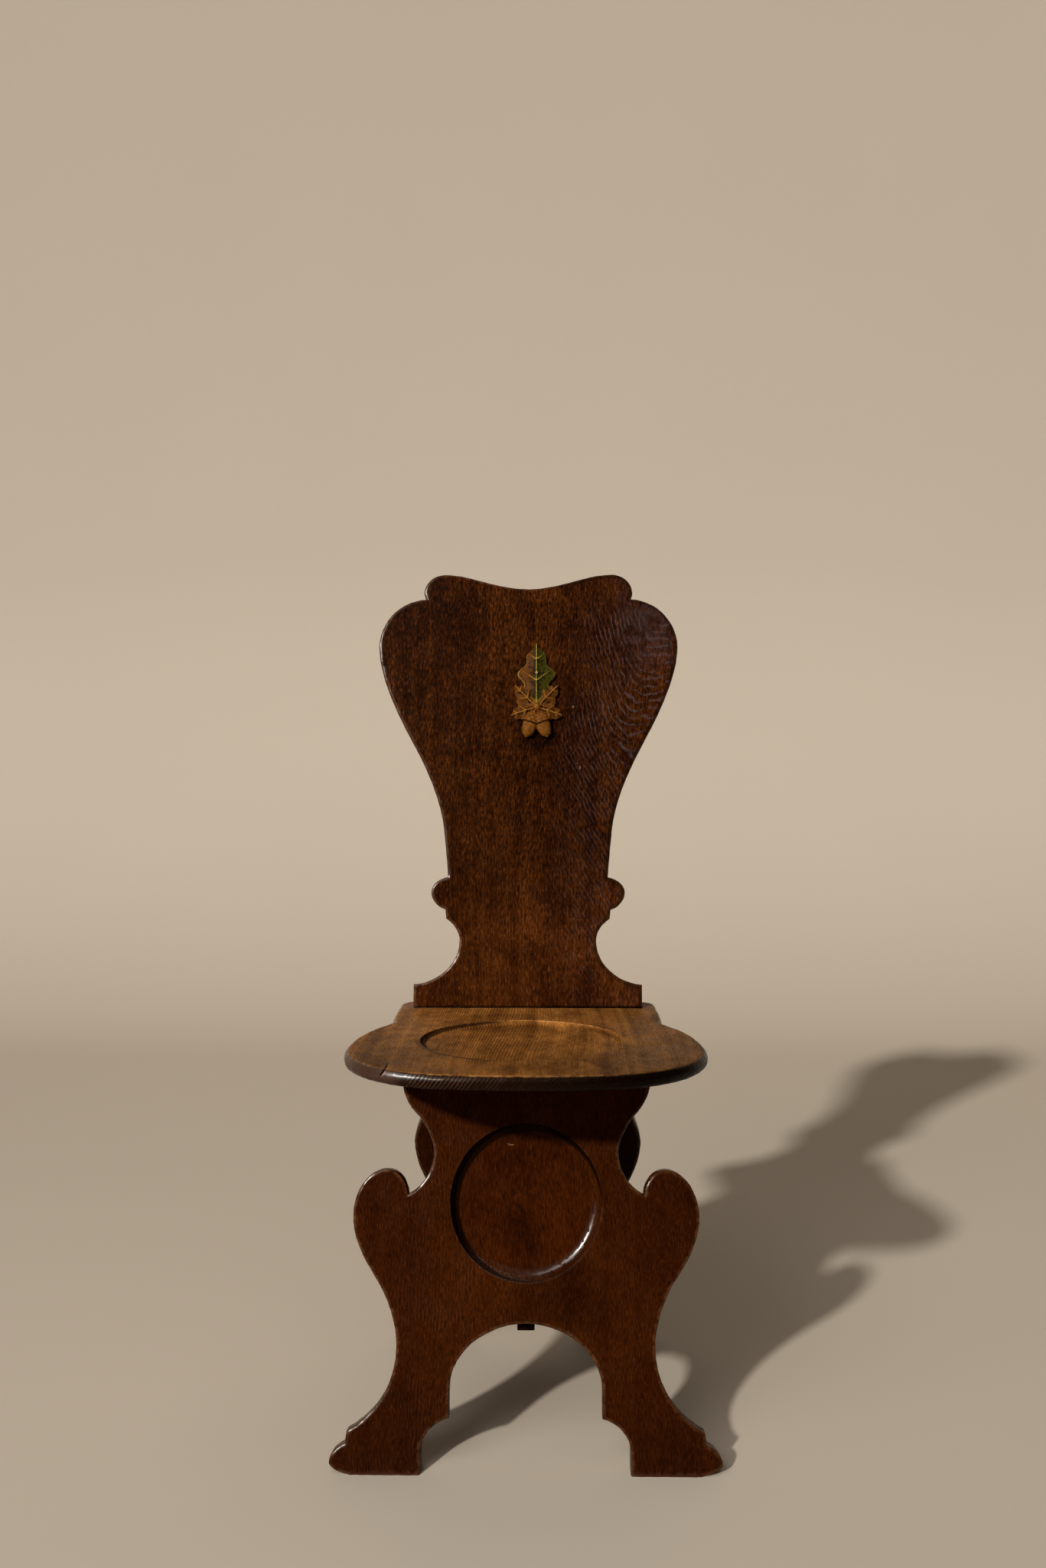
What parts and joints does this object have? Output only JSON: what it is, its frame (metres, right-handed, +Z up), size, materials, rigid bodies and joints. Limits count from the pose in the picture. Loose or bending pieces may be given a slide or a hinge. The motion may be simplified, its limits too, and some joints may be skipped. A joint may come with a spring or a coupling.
{
  "type": "hall chair",
  "caption": "Oak hall chair: a dished board seat under a waisted, shouldered back board with a carved oak spray, on two raked shaped leg boards joined by a stretcher.",
  "frame": {"origin": "on the floor, under the centre of the chair's overall box", "axes": "+Z up, the sitter faces -Y, +X is to the right of someone who looks at the chair's front"},
  "size_m": [0.413, 0.4922, 1.0019],
  "materials": {
    "seat_oak": "worn wax over golden brown oak",
    "dark_oak": "waxed dark red-brown oak",
    "raw_oak": "unpolished oak",
    "screw_steel": "dulled bare steel",
    "painted_carving": "worn ochre and green paint on carved wood",
    "pin_brass": "dulled brass"
  },
  "bodies": {
    "root": {"seat_board": "seat_oak", "back_board": "dark_oak", "back_wedge_left": "raw_oak", "back_wedge_right": "raw_oak", "front_leg_board": "dark_oak", "rear_leg_board": "dark_oak", "centre_stretcher": "dark_oak", "glue_block_front_left": "raw_oak", "glue_block_front_right": "raw_oak", "glue_block_rear_left": "raw_oak", "glue_block_rear_right": "raw_oak", "screw_front_left_seat": "screw_steel", "screw_front_left_leg": "screw_steel", "screw_front_right_seat": "screw_steel", "screw_front_right_leg": "screw_steel", "screw_rear_left_seat": "screw_steel", "screw_rear_left_leg": "screw_steel", "screw_rear_right_seat": "screw_steel", "screw_rear_right_leg": "screw_steel", "crest_carving": "painted_carving", "crest_pin_upper": "pin_brass", "crest_pin_lower": "pin_brass"}
  },
  "joints": []
}
